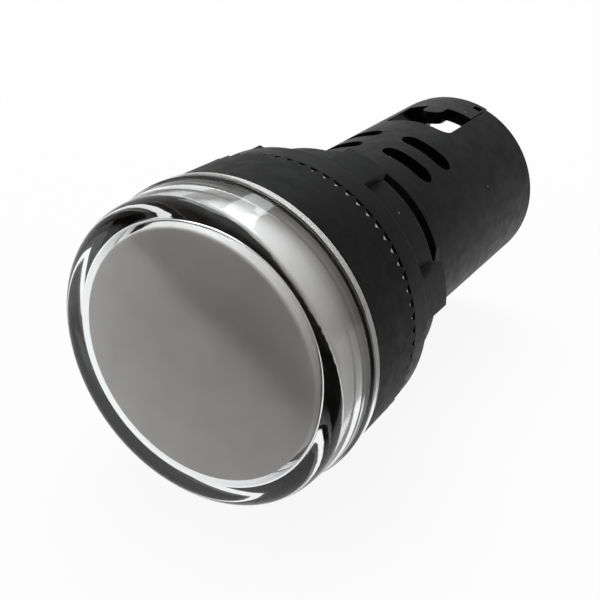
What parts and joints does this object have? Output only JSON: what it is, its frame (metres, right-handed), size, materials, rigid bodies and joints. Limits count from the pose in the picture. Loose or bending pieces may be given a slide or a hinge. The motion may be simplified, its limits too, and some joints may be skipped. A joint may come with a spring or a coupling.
{
  "type": "panel pilot light",
  "caption": "Pilot light for a 22.5 mm panel hole: clear lens over a milky diffuser, black flange with seal, grip nut on an M22 barrel, slotted tail with screw terminals",
  "frame": {"origin": "centre of the seat on the front of the panel, in the rear plane of the seal ring", "axes": "+Y is the lamp's axis, pointing into the panel from the lens to the tail; +Z points from the axis to terminal a; +X is to the right when facing the lens"},
  "size_m": [0.029, 0.0527, 0.029],
  "materials": {
    "clear_plastic": "clear polished polycarbonate",
    "milky_plastic": "milky translucent polycarbonate",
    "black_plastic": "fine spark-eroded black polyamide",
    "silicone": "translucent silicone rubber",
    "white_board": "white solder mask on laminate",
    "led_epoxy": "water-clear epoxy",
    "green_board": "green solder mask on laminate",
    "tinned_pins": "tinned copper",
    "grey_case": "filled grey plastic case",
    "dark_sleeve": "shrunk dark sleeve",
    "chip_case": "black moulding compound",
    "blue_lacquer": "blue-grey lacquer",
    "beige_lacquer": "beige lacquer",
    "brass": "stamped brass",
    "plated_steel": "zinc-plated steel"
  },
  "bodies": {
    "lamp": {"lens": "clear_plastic", "diffuser": "milky_plastic", "housing": "black_plastic", "seal_ring": "silicone", "rear_cap": "black_plastic", "led_board": "white_board", "led_1": "led_epoxy", "led_2": "led_epoxy", "led_3": "led_epoxy", "led_4": "led_epoxy", "led_5": "led_epoxy", "led_6": "led_epoxy", "driver_board": "green_board", "link_pins": "tinned_pins", "film_capacitor": "grey_case", "smoothing_capacitor": "dark_sleeve", "rectifier": "chip_case", "series_resistor": "blue_lacquer", "bleed_resistor": "beige_lacquer", "terminal_carrier": "black_plastic", "terminal_plate_a": "brass", "terminal_plate_b": "brass"},
    "nut": {"fixing_nut": "black_plastic"},
    "clamp_a": {"clamp_washer_a": "plated_steel"},
    "clamp_b": {"clamp_washer_b": "plated_steel"},
    "screw_a": {"terminal_screw_a": "plated_steel"},
    "screw_b": {"terminal_screw_b": "plated_steel"}
  },
  "joints": [
    {"name": "nut_travel", "type": "slide", "parent": "lamp", "child": "nut", "axis": [0, 1, 0], "range_m": [0, 0.012]},
    {"name": "clamp_lift_a", "type": "slide", "parent": "lamp", "child": "clamp_a", "axis": [0, 1, 0], "range_m": [0, 0.0025]},
    {"name": "screw_turn_a", "type": "hinge", "parent": "clamp_a", "child": "screw_a", "pos_m": [0, 0.0283, 0.005], "axis": [0, 1, 0], "range_deg": [0, 1800]},
    {"name": "clamp_lift_b", "type": "slide", "parent": "lamp", "child": "clamp_b", "axis": [0, 1, 0], "range_m": [0, 0.0025]},
    {"name": "screw_turn_b", "type": "hinge", "parent": "clamp_b", "child": "screw_b", "pos_m": [0, 0.0283, -0.005], "axis": [0, 1, 0], "range_deg": [0, 1800]}
  ],
  "couplings": [
    {"joint": "screw_turn_a", "follows": "clamp_lift_a", "rad_per_m": 12566},
    {"joint": "screw_turn_b", "follows": "clamp_lift_b", "rad_per_m": 12566}
  ]
}
